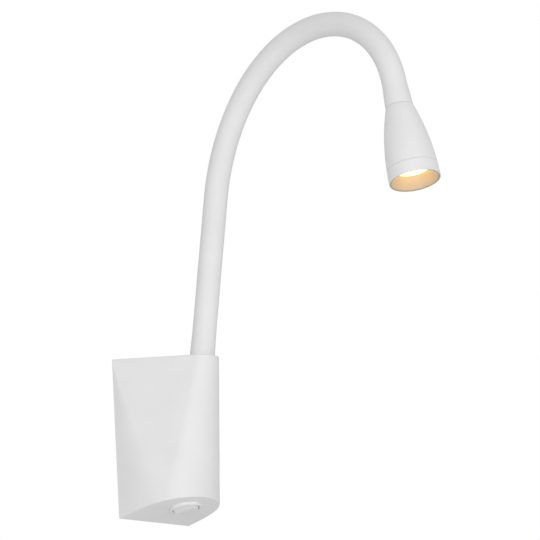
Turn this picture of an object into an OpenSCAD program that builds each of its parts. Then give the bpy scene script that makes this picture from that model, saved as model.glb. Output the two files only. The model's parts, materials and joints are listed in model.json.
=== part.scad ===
// Flexible wall light: a moulded housing on the wall, a bendable arm and a small spot head.
// The wall is the plane Y = 0, the front looks along -Y and +Z is up. Sizes are millimetres and degrees.

/* [Housing] */
// Height of the housing along the wall
housing_h = 100; // [98:1:120]
// Width of the housing at its top
housing_top_w = 72; // [70:1:84]
// Width of the housing at its bottom
housing_bottom_w = 58; // [56:1:66]
// Distance from the wall to the arm's axis, which is the centre of the round nose
nose_depth = 45; // [44:0.5:52]
// Radius of the round nose at the top
nose_r = 10.5; // [10:0.5:12]
// Distance from the wall to the front of the bottom face
bottom_depth = 48.5; // [47:0.5:54]
// Slope of the bottom face, which rises to the front
bottom_slope = 13; // [9:1:15]
// Wall thickness of the housing
housing_wall = 2.2; // [1.8:0.1:2.6]
// Bevel along the top and bottom edges
housing_edge = 0.8; // [0.4:0.1:1]

/* [Wall bracket] */
// Thickness of the folded steel
bracket_t = 1.5; // [1.2:0.1:2]
// Distance between the two wall screw holes
wall_hole_spacing = 46; // [42:1:48]
// Diameter of the wall screw holes
wall_hole_d = 4.5; // [4:0.1:5.5]
// Width of each ear that takes a cover screw
ear_w = 9; // [8:0.5:10]
// Length of each ear
ear_l = 12; // [11:0.5:14]
// Width of the tongue that holds the foot of the housing
tongue_w = 16; // [12:1:20]
// Thread diameter of the cover screws
cover_screw_d = 3; // [2.5:0.5:3.5]

/* [Cable inlet] */
// Bore of the grommet
inlet_d = 7; // [5:0.5:8]
// Wall thickness of the grommet
grommet_wall = 1.5; // [1.2:0.1:2]
// Thickness of the grommet's flange
grommet_flange_t = 1.5; // [1:0.1:2]

/* [Driver and terminal block] */
// Width of the driver case
driver_w = 32; // [28:1:34]
// Height of the driver case
driver_h = 30; // [26:1:32]
// Thickness of the driver case
driver_t = 18; // [14:1:19]
// Length of each driver lug
lug_l = 6; // [5.6:0.2:7]
// Width of the terminal block
block_w = 26; // [25:1:30]
// Height of the terminal block
block_h = 12; // [12:0.5:14]
// Thickness of the terminal block
block_t = 11; // [10:0.5:12]
// Distance between the poles
pole_pitch = 8; // [7.5:0.1:8.4]

/* [Switch] */
// Distance from the wall to the centre of the switch
switch_depth = 30; // [29:0.5:32]
// Turn of the switch in its round hole, away from straight ahead
switch_turn = 14; // [0:1:30]
// Outer diameter of the raised ring
ring_d = 20.4; // [20.2:0.1:22]
// Height of the raised ring
ring_h = 1.8; // [1.2:0.1:2]
// Diameter of the barrel inside the housing
barrel_d = 18.8; // [18.6:0.1:19.2]
// Length of the barrel inside the housing
barrel_l = 14; // [13.8:0.1:15]
// Diameter of the round rocker
rocker_d = 17.1; // [16.4:0.1:17.2]
// Angle between the two stops of the rocker
rocker_swing = 20; // [16:1:22]
// Slope of each half of the rocker's face
rocker_slope = 10; // [8:1:11]
// Diameter of the rocker's pivot pins
pivot_d = 2; // [1.8:0.1:2.2]

/* [Arm] */
// Length of the arm from the housing to the head
arm_length = 350; // [330:2:380]
// Diameter of the sleeve
sleeve_d = 15; // [14.6:0.1:15.6]
// Diameter of the gooseneck core
core_d = 10.4; // [10:0.1:10.8]
// Bore of the gooseneck core
core_bore = 6; // [5:0.1:6.5]
// Diameter of the cable through the arm
cable_d = 4; // [3:0.1:4.4]
// Lean of the foot of the arm
base_tilt = 7; // [4:1:9]
// Length of each flared collar
collar_l = 18; // [16:0.5:20]
// Diameter of the foot collar on the housing
base_collar_d = 15.6; // [15.4:0.1:17]
// Diameter of the head collar at the head
head_collar_d = 16.8; // [16.4:0.1:17]
// Thread diameter of the nipples
nipple_d = 8; // [7.4:0.1:8.4]
// Width of the nuts across their flats
nut_af = 12; // [11.6:0.1:12.4]

/* [Head] */
// Length of the head from the collar to the mouth
head_l = 48; // [45:1:53]
// Outer radius of the head at the collar
neck_r = 8.5; // [8.4:0.1:9.2]
// Outer radius of the head at the mouth
mouth_r = 15.5; // [15.2:0.1:16.5]
// Wall thickness of the head shell
head_wall = 1.6; // [1.4:0.1:1.8]
// Length of the bezel ring that shows
bezel_l = 8; // [7.6:0.1:9]
// Wall thickness at the rim of the bezel ring
rim_t = 0.8; // [0.7:0.1:1]
// Radius of the lit disc
disc_r = 10.4; // [9.8:0.1:10.8]
// Depth of the lit disc behind the mouth
disc_depth = 8; // [7.6:0.1:8.4]

/* [Hidden] */
$fn = 48;

white_paint = "#f1f1ee";
white_sleeve = "#ececea";
steel = "#a9acb0";
brass = "#c9a455";
aluminium = "#c4c7ca";
pale_plastic = "#d9d8d2";
dark_plastic = "#3c3d40";
board_white = "#e8e8e4";
phosphor = "#f2c84b";
lens_white = "#fffdf2";
baffle_white = "#f4f1ea";

// Clearances
fit = 0.05;
slack = 0.3;
hole_gap = 0.2;
slab = 0.01;
past = 1;

// Housing
top_z = housing_h / 2;
bottom_z = -housing_h / 2;
side_angle = atan2(nose_depth, housing_top_w / 2) + asin(nose_r / norm([housing_top_w / 2, nose_depth]));
nose_steps = 18;
bottom_steps = 36;
half_turn = 180;
// Power that makes the bottom face fuller than an ellipse
bottom_power = 0.625;
floor_rise = housing_wall / cos(bottom_slope);

// Ear, screw and tongue places on the bracket
ear_top = top_z - housing_wall - fit;
ear_x = housing_top_w / 2 - housing_wall / sin(side_angle) - ear_l / tan(side_angle) - ear_w / 2 - slack;
ear_screw_y = ear_w / 2 - ear_l;
cover_screw_l = 8;
cover_head_d = 2 * cover_screw_d;
cover_head_h = (cover_head_d - cover_screw_d) / 2;
recess_l = cover_head_d / 2;
recess_w = cover_head_d / 8;
rib_y = -4;
rib_t = 1.8;
rib_h = 11;
tongue_h = 6.5;
tongue_z = bottom_z + tongue_h;
tongue_reach = 3;

// Stack on the bracket, from the top down: driver, cable inlet, terminal block
stack_gap = 3;
driver_z = top_z - housing_wall - stack_gap - lug_l - driver_h / 2;
case_corner = 2;
lug_w = 12;
lug_t = 2.5;
small_screw_d = 2.5;
small_head_d = 5;
small_head_h = 1.6;
grommet_d = inlet_d + 2 * grommet_wall;
grommet_lip = 2;
flange_d = grommet_d + 2 * grommet_lip;
inlet_z = driver_z - driver_h / 2 - lug_l - stack_gap - flange_d / 2;
block_z = inlet_z - flange_d / 2 - stack_gap - block_h / 2;
block_corner = 1;
wire_hole_d = 2.6;
lead_d = 2;
lead_bite = 3;
lead_gap = 0.2;
lead_stub = 14;
lead_steps = 12;
lead_sides = 8;
clamp_d = 3;
clamp_l = 4;
clamp_slot = 0.7;

// Switch, measured from the outside of the bottom face
pivot_depth = 2.3;
rocker_r = rocker_d / 2;
rocker_gap = 0.15;
rocker_fn = 96;
barrel_floor = 1.5;
ridge_h = 4.8;
rocker_foot = 4;
stem_d = 5;
stem_end = 7.4;
plunger_d = 3;
plunger_end = 9;
spring_top = 3;
spring_end = 5.6;
spring_wire = 0.4;
spring_turns = 4.5;
coil_steps = 9;
wire_sides = 6;
contact_top = 9.25;
contact_t = 0.6;
contact_l = 11.2;
contact_w = 3;
contact_tilt = 6;
contact_gap = 0.1;
blade_t = 1.2;
blade_w = 4;
blade_end = 19.5;
blade_x = contact_l / 2 - blade_t / 2 - hole_gap;
barb_w = 3;
barb_h = 1.6;

// Arm, as links that turn on each other where it bends
link_bends = [0, 0, 16, 17, 20, 22, 24, 28, 31];
link_count = len(link_bends);
piece_count = link_count + 1;
stub_l = 16;
link_l = (arm_length - 2 * collar_l - stub_l) / link_count;
// The links meet on a ball that stands a little outside the sleeve
joint_r = 1.08 * sleeve_d / 2;
joint_gap = 0.15;
sleeve_bore = core_d + 2 * fit;
arm_root = [0, -nose_depth, top_z];
socket_l = 10;
socket_wall = 1.2;
socket_d = core_d + 2 * fit + 2 * socket_wall;
flange_t = 2;
flange_lip = 0.5;
base_flange_d = socket_d + 2 * flange_lip;
arc_fn = 180;
rod_fn = 48;
cable_steps = 3;
cable_turn_steps = 10;
cable_sides = 12;
cable_room = 0.5;
nipple_bore = cable_d + 2 * cable_room;
nipple_l = 12;
nut_h = 3;
washer_t = 1;
washer_d = 15;

// Head
head_swell = 2.1;
head_steps = 14;
seam_x = head_l - bezel_l;
seam_gap = 0.3;
back_wall = 3;
head_hole_d = nipple_d + 2 * hole_gap;
disc_x = head_l - disc_depth;
lens_t = 2;
lens_lip = 1.6;
lens_r = disc_r + lens_lip;
shelf_t = 1.2;
shelf_x = disc_x - lens_t - shelf_t;
spigot_r = head_r(seam_x) - head_wall;
spigot_l = 6.4;
spigot_wall = 1;
sink_disc_t = 3;
sink_front = seam_x - spigot_l - fit;
sink_x = sink_front - sink_disc_t;
sink_core_r = 6.5;
fin_t = 1.4;
fin_pitch = 3.4;
fin_count = 4;
fin_gap = 1;
board_t = 1.6;
board_margin = 2.6;
board_r = spigot_r - board_margin;
emitter_r = 5;
emitter_t = 1;
led_screw_d = 2;
led_screw_inset = 2.4;
led_screw_r = board_r - led_screw_inset;
led_screw_l = 5;
led_head_d = 1.8 * led_screw_d;
led_head_h = 0.6 * led_screw_d;
cone_t = 0.5;
baffle_recess = 0.4;
baffle_land = 0.8;
rim_edge = 0.2;
rim_bore_l = 2.5;

// Outlines of the housing, seen from above. The inset draws the walls in, back carries them past the wall
function top_outline(inset, back) =
    let (half = housing_top_w / 2 - inset / sin(side_angle), r = nose_r - inset)
    concat(
        back > 0 ? [[-half, back]] : [],
        [[-half, 0]],
        [for (i = [0 : nose_steps])
            let (t = 90 + side_angle * (1 - 2 * i / nose_steps))
            [r * cos(t), -nose_depth - r * sin(t)]],
        [[half, 0]],
        back > 0 ? [[half, back]] : []);

function bottom_outline(inset, back) =
    let (half = housing_bottom_w / 2 - inset, depth = (bottom_depth - inset) / cos(bottom_slope))
    concat(
        back > 0 ? [[-half, back]] : [],
        [for (i = [0 : bottom_steps])
            let (t = half_turn * (1 - i / bottom_steps))
            [half * cos(t), -depth * pow(sin(t), bottom_power)]],
        back > 0 ? [[half, back]] : []);

// Half the width inside the housing at the wall, at a height
function inner_half(z) =
    let (share = (z - bottom_z) / housing_h,
         low = housing_bottom_w / 2 - housing_wall,
         high = housing_top_w / 2 - housing_wall / sin(side_angle) - bracket_t / tan(side_angle))
    low + (high - low) * share;

// Places and headings along the arm. A heading is the lean from straight up, towards the front.
function sum_to(list, n) = n <= 0 ? 0 : list[n - 1] + sum_to(list, n - 1);
function along(h) = [0, -sin(h), cos(h)];
function arc_step(h, l, b) =
    b == 0 ? l * along(h) : l / (b * PI / 180) * [0, cos(h + b) - cos(h), sin(h + b) - sin(h)];
function joint_heading(k) = base_tilt + sum_to(link_bends, k);
function joint_place(k) =
    k == 0 ? arm_root + (collar_l + stub_l) * along(base_tilt)
           : joint_place(k - 1) + arc_step(joint_heading(k - 1), link_l, link_bends[k - 1]);
head_heading = joint_heading(link_count);
head_root = joint_place(link_count) + collar_l * along(head_heading);
function piece_l(i) = i == 1 ? stub_l : link_l;
function piece_bend(i) = i == 1 ? 0 : link_bends[i - 2];

// Outer radius of the head at a distance from the collar
function head_r(x) = mouth_r - (mouth_r - neck_r) * pow((head_l - x) / head_l, head_swell);

// Tube through a list of points, with rings square to the line
function unit(v) = v / norm(v);
function bezier(p, q, r, s, t) =
    pow(1 - t, 3) * p + 3 * t * pow(1 - t, 2) * q + 3 * t * t * (1 - t) * r + pow(t, 3) * s;
function bezier_line(p, q, r, s, n) = [for (i = [0 : n]) bezier(p, q, r, s, i / n)];
function tangent(line, i) = unit(line[min(i + 1, len(line) - 1)] - line[max(i - 1, 0)]);

module tube_along(line, d, side, sides) {
    n = len(line);
    ring_points = [for (i = [0 : n - 1])
        let (t = tangent(line, i), u = unit(cross(t, side)), v = cross(t, u))
        for (j = [0 : sides - 1]) line[i] + d / 2 * (cos(360 * j / sides) * u + sin(360 * j / sides) * v)];
    walls = [for (i = [0 : n - 2], j = [0 : sides - 1])
        let (a = i * sides + j, b = i * sides + (j + 1) % sides)
        each [[a, b, a + sides], [b, b + sides, a + sides]]];
    first = [for (j = [1 : sides - 2]) [0, j + 1, j]];
    last = [for (j = [1 : sides - 2]) (n - 1) * sides * [1, 1, 1] + [0, j, j + 1]];
    polyhedron(ring_points, concat(walls, first, last));
}

// Frames
module floor_frame() translate([0, 0, bottom_z]) rotate([-bottom_slope, 0, 0]) children();
module switch_frame()
    translate([0, -switch_depth, bottom_z + switch_depth * tan(bottom_slope)])
        rotate([half_turn - bottom_slope, 0, 0]) rotate([0, 0, -switch_turn]) children();
module pivot_frame() switch_frame() translate([0, 0, -pivot_depth]) children();
module on_bracket(z) translate([0, -bracket_t, z]) rotate([90, 0, 0]) children();
module base_frame() translate(arm_root) rotate([base_tilt, 0, 0]) children();
module head_frame() translate(head_root) rotate([head_heading, 0, 0]) children();
module piece_frame(i) {
    if (i == 1) base_frame() translate([0, 0, collar_l]) children();
    else translate(joint_place(i - 2)) rotate([joint_heading(i - 2), 0, 0]) children();
}

// Shapes that repeat
module tube(outer, inner, h) difference() {
    cylinder(d = outer, h = h);
    translate([0, 0, -past]) cylinder(d = inner, h = h + 2 * past);
}
module rounded_plate(w, h, t, r) linear_extrude(t) {
    square([w - 2 * r, h], center = true);
    square([w, h - 2 * r], center = true);
    for (x = [-1, 1], y = [-1, 1]) translate([x * (w / 2 - r), y * (h / 2 - r)]) circle(r = r);
}
module pan_screw(d, l, head_d, head_h) {
    crown_d = 0.8 * head_d;
    slot_w = head_d / 6;
    translate([0, 0, -l]) cylinder(d = d, h = l);
    difference() {
        cylinder(d1 = head_d, d2 = crown_d, h = head_h);
        translate([-head_d, -slot_w / 2, head_h / 2]) cube([2 * head_d, slot_w, head_h]);
    }
}
module hex_nut(af, bore, h) difference() {
    cylinder(d = af / cos(30), h = h, $fn = 6);
    translate([0, 0, -past]) cylinder(d = bore, h = h + 2 * past);
}
// A rod that starts along +Z and bends towards -Y
module bent_rod(d, l, b) {
    r = l / (abs(b) * PI / 180);
    if (b == 0) cylinder(d = d, h = l);
    else if (b < 0) mirror([0, 1, 0]) bent_rod(d, l, -b);
    else translate([0, -r, 0]) rotate([90, 0, 90]) rotate_extrude(angle = b, $fn = arc_fn)
        translate([r, 0]) circle(d = d, $fn = rod_fn);
}
module rod_end(l, b) translate(arc_step(0, l, b)) rotate([b, 0, 0]) children();

// Housing
module housing_outside() intersection() {
    hull() for (bevel = [[0, housing_edge], [housing_edge, 0]]) {
        translate([0, 0, top_z - bevel[0] - slab]) linear_extrude(slab) polygon(top_outline(bevel[1], 0));
        floor_frame() translate([0, 0, bevel[0]]) linear_extrude(slab) polygon(bottom_outline(bevel[1], 0));
    }
    translate([-housing_h, -2 * housing_h, -housing_h]) cube(2 * housing_h);
}
module housing_inside() hull() {
    translate([0, 0, top_z - housing_wall - slab]) linear_extrude(slab)
        polygon(top_outline(housing_wall, past));
    floor_frame() translate([0, 0, housing_wall]) linear_extrude(slab)
        polygon(bottom_outline(housing_wall, past));
}
module housing_rib() {
    low = bottom_z + (rib_t - rib_y) * tan(bottom_slope) + floor_rise / 3;
    translate([-tongue_w / 2 - 2 * rib_t, rib_y - rib_t, low])
        cube([tongue_w + 4 * rib_t, rib_t, bottom_z + rib_h - low]);
}
module housing_shell() color(white_paint) difference() {
    union() {
        difference() {
            housing_outside();
            housing_inside();
        }
        housing_rib();
    }
    translate([0, -nose_depth, top_z - housing_wall - past])
        cylinder(d = nipple_d + 2 * hole_gap, h = housing_wall + 2 * past);
    switch_frame() translate([0, 0, -housing_wall - past])
        cylinder(d = barrel_d + 2 * fit, h = housing_wall + 2 * past);
    for (x = [-ear_x, ear_x]) translate([x, ear_screw_y, top_z]) {
        translate([0, 0, -housing_wall - past])
            cylinder(d = cover_screw_d + 2 * hole_gap, h = housing_wall + 2 * past);
        translate([0, 0, -cover_head_h])
            cylinder(d1 = cover_screw_d + 2 * fit, d2 = cover_head_d + 2 * fit, h = cover_head_h + slab);
    }
    translate([-tongue_w / 2 - slack, rib_y - rib_t - past, tongue_z - hole_gap])
        cube([tongue_w + 2 * slack, rib_t + 2 * past, bracket_t + 2 * hole_gap]);
}

// Steel bracket with two ears for the cover screws and a tongue for the foot of the housing
module wall_bracket() color(steel) difference() {
    low = bottom_z + floor_rise + bracket_t * tan(bottom_slope) + slack;
    union() {
        rotate([90, 0, 0]) linear_extrude(bracket_t) polygon([
            [-inner_half(low) + slack, low], [inner_half(low) - slack, low],
            [inner_half(ear_top) - slack, ear_top], [slack - inner_half(ear_top), ear_top]]);
        for (x = [-ear_x, ear_x]) translate([x - ear_w / 2, -ear_l, ear_top - bracket_t])
            cube([ear_w, ear_l, bracket_t]);
        translate([-tongue_w / 2, rib_y - rib_t - tongue_reach, tongue_z])
            cube([tongue_w, tongue_reach + rib_t - rib_y, bracket_t]);
    }
    for (x = [-wall_hole_spacing / 2, wall_hole_spacing / 2])
        on_bracket(0)
            translate([x, 0, -bracket_t - past]) cylinder(d = wall_hole_d, h = bracket_t + 2 * past);
    on_bracket(inlet_z)
        translate([0, 0, -bracket_t - past]) cylinder(d = grommet_d, h = bracket_t + 2 * past);
    for (x = [-ear_x, ear_x]) translate([x, ear_screw_y, ear_top - bracket_t - past])
        cylinder(d = cover_screw_d + 2 * fit, h = bracket_t + 2 * past);
    for (y = [-1, 1]) on_bracket(driver_z + y * (driver_h + lug_l) / 2)
        translate([0, 0, -bracket_t - past]) cylinder(d = small_screw_d + 2 * fit, h = bracket_t + 2 * past);
    for (x = [-1, 1]) on_bracket(block_z) translate([x * pole_pitch / 2, 0, -bracket_t - past])
        cylinder(d = small_screw_d + 2 * fit, h = bracket_t + 2 * past);
}
module cable_grommet() color(dark_plastic) on_bracket(inlet_z) difference() {
    union() {
        cylinder(d = flange_d, h = grommet_flange_t);
        translate([0, 0, fit - bracket_t]) cylinder(d = grommet_d - 2 * fit, h = bracket_t);
    }
    translate([0, 0, -bracket_t]) cylinder(d = inlet_d, h = bracket_t + grommet_flange_t + past);
}
module cover_screws() color(steel) for (x = [-ear_x, ear_x])
    translate([x, ear_screw_y, top_z]) difference() {
    union() {
        translate([0, 0, -cover_screw_l]) cylinder(d = cover_screw_d, h = cover_screw_l - cover_head_h);
        translate([0, 0, -cover_head_h]) cylinder(d1 = cover_screw_d, d2 = cover_head_d, h = cover_head_h);
    }
    for (turn = [0, 90]) rotate([0, 0, turn])
        translate([-recess_l / 2, -recess_w / 2, -cover_head_h / 2])
            cube([recess_l, recess_w, cover_head_h]);
}

// Driver and terminal block
module led_driver() color(pale_plastic) on_bracket(driver_z) difference() {
    union() {
        rounded_plate(driver_w, driver_h, driver_t, case_corner);
        rounded_plate(lug_w, driver_h + 2 * lug_l, lug_t, case_corner);
    }
    for (y = [-1, 1]) translate([0, y * (driver_h + lug_l) / 2, -past])
        cylinder(d = small_screw_d + 2 * hole_gap, h = lug_t + 2 * past);
}
module driver_screws() color(steel) for (y = [-1, 1])
    on_bracket(driver_z + y * (driver_h + lug_l) / 2) translate([0, 0, lug_t])
        pan_screw(small_screw_d, lug_t + bracket_t - fit, small_head_d, small_head_h);
module terminal_block() color(pale_plastic) on_bracket(block_z) difference() {
    rounded_plate(block_w, block_h, block_t, block_corner);
    for (x = [-1, 0, 1]) {
        translate([x * pole_pitch, block_h / 2 + past, block_t / 2]) rotate([90, 0, 0])
            cylinder(d = wire_hole_d, h = block_h + 2 * past);
        for (y = [-1, 1]) translate([x * pole_pitch, y * block_h / 4, block_t / 2])
            cylinder(d = clamp_d + 2 * fit, h = block_t);
    }
    for (x = [-1, 1]) translate([x * pole_pitch / 2, 0, -past]) {
        cylinder(d = small_screw_d + 2 * hole_gap, h = block_t + 2 * past);
        translate([0, 0, block_t / 2 + past]) cylinder(d = small_head_d + 2 * hole_gap, h = block_t);
    }
}
module terminal_screws() color(brass) for (x = [-1, 0, 1], y = [-1, 1])
    on_bracket(block_z) translate([x * pole_pitch, y * block_h / 4, block_t - clamp_l]) difference() {
        slot_w = clamp_d / 4;
        cylinder(d = clamp_d, h = clamp_l - slack);
        translate([-clamp_d, -slot_w / 2, clamp_l - slack - clamp_slot])
            cube([2 * clamp_d, slot_w, clamp_d]);
    }
module block_screws() color(steel) for (x = [-1, 1])
    on_bracket(block_z) translate([x * pole_pitch / 2, 0, block_t / 2])
        pan_screw(small_screw_d, block_t / 2 + bracket_t - fit, small_head_d, small_head_h);

// Round rocker switch in the bottom face
module switch_body() color(white_paint) switch_frame() difference() {
    inner_d = rocker_d + 2 * rocker_gap;
    outer_bevel = ring_h / 2;
    inner_bevel = ring_h / 4;
    union() {
        rotate_extrude() polygon([
            [inner_d / 2, 0], [ring_d / 2, 0], [ring_d / 2, ring_h - outer_bevel],
            [ring_d / 2 - outer_bevel, ring_h], [inner_d / 2 + inner_bevel, ring_h],
            [inner_d / 2, ring_h - inner_bevel]]);
        translate([0, 0, -barrel_l]) tube(barrel_d, inner_d, barrel_l + slab);
        translate([0, 0, -barrel_l - barrel_floor]) cylinder(d = barrel_d, h = barrel_floor);
        for (turn = [0, half_turn]) rotate([0, 0, turn])
            translate([barrel_d / 2 - slack, -barb_w / 2, -housing_wall - hole_gap - barb_h])
                cube([(ring_d - barrel_d) / 2 + slack, barb_w, barb_h]);
    }
    translate([0, -barrel_d, -pivot_depth]) rotate([-90, 0, 0])
        cylinder(d = pivot_d + 2 * fit, h = 2 * barrel_d);
    for (x = [0, blade_x])
        translate([x - blade_t / 2 - fit, -blade_w / 2 - fit, -barrel_l - 2 * barrel_floor])
            cube([blade_t + 2 * fit, blade_w + 2 * fit, 3 * barrel_floor]);
}
module switch_rocker() color(white_paint) pivot_frame() rotate([0, -rocker_swing / 2, 0]) difference() {
    fall = rocker_r * tan(rocker_slope);
    union() {
        intersection() {
            sphere(d = rocker_d, $fn = rocker_fn);
            translate([0, rocker_d, 0]) rotate([90, 0, 0]) linear_extrude(2 * rocker_d) polygon([
                [-rocker_r, -rocker_foot], [rocker_r, -rocker_foot], [rocker_r, ridge_h - fall],
                [0, ridge_h], [-rocker_r, ridge_h - fall]]);
        }
        translate([0, 0, -stem_end]) cylinder(d = stem_d, h = stem_end);
        translate([0, -barrel_d / 2 + hole_gap, 0]) rotate([-90, 0, 0])
            cylinder(d = pivot_d, h = barrel_d - 2 * hole_gap);
    }
    translate([0, 0, -stem_end - past]) cylinder(d = plunger_d + 2 * fit, h = stem_end + past - spring_top);
}
module switch_plunger() color(brass) pivot_frame() rotate([0, -rocker_swing / 2, 0]) {
    tip_r = plunger_d / 2;
    translate([0, 0, -plunger_end + tip_r]) cylinder(d = plunger_d, h = plunger_end - tip_r - spring_end);
    translate([0, 0, -plunger_end + tip_r]) sphere(d = plunger_d);
}
module switch_spring() color(steel) pivot_frame() rotate([0, -rocker_swing / 2, 0]) {
    coil_r = plunger_d / 2 - spring_wire / 2 - fit;
    travel = spring_end - spring_top - spring_wire;
    line = [for (i = [0 : coil_steps * spring_turns])
        let (turn = 360 * i / coil_steps, share = i / (coil_steps * spring_turns))
        [coil_r * cos(turn), coil_r * sin(turn), -spring_top - spring_wire / 2 - travel * share]];
    tube_along(line, spring_wire, [0, 0, 1], wire_sides);
}
module switch_contact() color(brass) pivot_frame() translate([0, 0, -contact_top])
    rotate([0, contact_tilt, 0]) translate([-contact_l / 2, -contact_w / 2, -contact_t])
        cube([contact_l, contact_w, contact_t]);
module switch_terminals() color(brass) pivot_frame() for (x = [0, blade_x]) {
    top = contact_top + contact_t + contact_gap + x * tan(contact_tilt);
    translate([x - blade_t / 2, -blade_w / 2, -blade_end]) cube([blade_t, blade_w, blade_end - top]);
}

// Leads between the block, the switch and the driver
function switch_point(x, z) =
    [0, -switch_depth, bottom_z + switch_depth * tan(bottom_slope)]
    + x * [cos(switch_turn), sin(switch_turn) * cos(bottom_slope), -sin(switch_turn) * sin(bottom_slope)]
    + (z + pivot_depth) * [0, sin(bottom_slope), cos(bottom_slope)];
module lead(p, q, r, s) tube_along(bezier_line(p, q, r, s, lead_steps), lead_d, [0, 1, 0], lead_sides);
module internal_leads() color(dark_plastic) {
    rise = [0, 0, lead_stub];
    inward = lead_stub * [0, sin(bottom_slope), cos(bottom_slope)];
    block_top = [0, -bracket_t - block_t / 2, block_z + block_h / 2 - lead_bite];
    driver_foot = [0, -bracket_t - driver_t / 2, driver_z - driver_h / 2 - lead_gap];
    live = block_top - [pole_pitch, 0, 0];
    tip = switch_point(0, blade_end + lead_gap);
    far_tip = switch_point(blade_x, blade_end + lead_gap);
    left_foot = driver_foot - [driver_w / 4, 0, 0];
    right_foot = driver_foot + [driver_w / 4, 0, 0];
    lead(live, live + rise, far_tip + inward, far_tip);
    lead(tip, tip + inward, left_foot - rise, left_foot);
    lead(block_top, block_top + rise, right_foot - rise, right_foot);
}

// Foot of the arm
module base_nipple() color(steel) difference() {
    union() {
        translate(arm_root - [0, 0, nipple_l]) cylinder(d = nipple_d, h = nipple_l);
        translate(arm_root) cylinder(d = base_flange_d, h = flange_t);
        base_frame() translate([0, 0, flange_t / 2]) cylinder(d = socket_d, h = socket_l - flange_t / 2);
    }
    translate(arm_root - [0, 0, nipple_l + past]) cylinder(d = nipple_bore, h = nipple_l + past);
    base_frame() translate([0, 0, -past]) cylinder(d = nipple_bore + 2 * hole_gap, h = socket_l);
    base_frame() translate([0, 0, 2 * flange_t]) cylinder(d = core_d + 2 * fit, h = socket_l);
}
module base_washer() color(steel) translate(arm_root - [0, 0, housing_wall + washer_t])
    tube(washer_d, nipple_d + 2 * fit, washer_t);
module base_nut() color(brass) translate(arm_root - [0, 0, housing_wall + washer_t + nut_h])
    hex_nut(nut_af, nipple_d + 2 * fit, nut_h);
// A collar that flares away from the sleeve, with room for the socket inside
module flared_collar(d) difference() {
    rotate_extrude() polygon([
        [0, -flange_t], [d / 2, -flange_t], [d / 2, 0], [sleeve_d / 2, collar_l], [0, collar_l]]);
    translate([0, 0, -flange_t - past]) cylinder(d = sleeve_bore, h = collar_l + 2 * past + flange_t);
    translate([0, 0, -flange_t - past])
        cylinder(d = base_flange_d + 2 * hole_gap, h = socket_l + flange_t + past + fit);
}
module base_collar() color(white_sleeve) intersection() {
    base_frame() flared_collar(base_collar_d);
    translate(arm_root - [housing_h, housing_h, 0]) cube(2 * housing_h);
}

// Arm: pieces of sleeve and core that meet on balls. Each runs past its far joint, to be rounded there
module arm_rod(i, d, more)
    bent_rod(d, piece_l(i) + more, piece_bend(i) * (piece_l(i) + more) / piece_l(i));
module past_joint(i) rod_end(piece_l(i), piece_bend(i)) difference() {
    translate([-link_l, -link_l, 0]) cube(2 * link_l);
    sphere(r = joint_r);
}
module seat() sphere(r = joint_r + joint_gap);
module arm_sleeve(i) color(white_sleeve) piece_frame(i) difference() {
    arm_rod(i, sleeve_d, joint_r);
    arm_rod(i, sleeve_bore, joint_r + past);
    past_joint(i);
    if (i > 1) seat();
}
module arm_core(i) color(steel) {
    inside = collar_l - 2 * flange_t - fit;
    if (i == 1) base_frame() translate([0, 0, collar_l - inside]) difference() {
        cylinder(d = core_d, h = inside + stub_l + joint_r);
        translate([0, 0, -past]) cylinder(d = core_bore, h = inside + stub_l + joint_r + 2 * past);
        translate([0, 0, inside]) past_joint(i);
    }
    else if (i <= piece_count) piece_frame(i) difference() {
        arm_rod(i, core_d, joint_r);
        arm_rod(i, core_bore, joint_r + past);
        past_joint(i);
        seat();
    }
    else piece_frame(i) difference() {
        cylinder(d = core_d, h = inside);
        cylinder(d = core_bore, h = inside + past);
        seat();
    }
}
// Cable from the driver through the arm to the head, as one line
function cable_piece(i) = [for (j = [0 : cable_steps - 1])
    let (h = i == 1 ? base_tilt : joint_heading(i - 2),
         share = j / cable_steps,
         start = i == 1 ? arm_root : joint_place(i - 2),
         l = i == 1 ? collar_l + stub_l : link_l)
    start + arc_step(h, l * share, piece_bend(i) * share)];
module arm_cable() color(dark_plastic) {
    foot = arm_root - [0, 0, nipple_l];
    driver_face = [0, -bracket_t - driver_t - lead_gap, driver_z];
    line = concat(
        bezier_line(driver_face, driver_face - [0, nipple_l, 0], foot - [0, 0, nipple_l], foot,
            cable_turn_steps),
        [foot + [0, 0, nipple_l / 2]],
        [for (i = [1 : piece_count]) each cable_piece(i)],
        [for (x = [-collar_l, 0, sink_front]) head_root + x * along(head_heading)]);
    tube_along(line, cable_d, [1, 0, 0], cable_sides);
}

// Head, measured along its axis from the collar
module head_collar() color(white_sleeve) difference() {
    head_frame() mirror([0, 0, 1]) intersection() {
        flared_collar(head_collar_d);
        cylinder(d = 2 * head_collar_d, h = collar_l);
    }
    piece_frame(piece_count + 1) seat();
}
module head_nipple() color(steel) head_frame() difference() {
    union() {
        cylinder(d = nipple_d, h = nipple_l);
        translate([0, 0, -socket_l]) cylinder(d = socket_d, h = socket_l);
    }
    translate([0, 0, -socket_l]) cylinder(d = nipple_bore, h = socket_l + nipple_l + past);
    translate([0, 0, -socket_l - past]) cylinder(d = core_d + 2 * fit, h = socket_l + past - 2 * flange_t);
}
module head_nut() color(brass) head_frame() translate([0, 0, back_wall])
    hex_nut(nut_af, nipple_d + 2 * fit, nut_h);
module head_shell() color(white_paint) head_frame() rotate_extrude() polygon(concat(
    [for (i = [0 : head_steps]) let (x = seam_x * i / head_steps) [head_r(x), x]],
    [[spigot_r, seam_x], [spigot_r, sink_x]],
    [for (i = [head_steps : -1 : 0])
        let (x = back_wall + (sink_x - back_wall) * i / head_steps)
        [min(head_r(x) - head_wall, spigot_r - spigot_wall), x]],
    [[head_hole_d / 2, back_wall], [head_hole_d / 2, 0]]));
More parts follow.
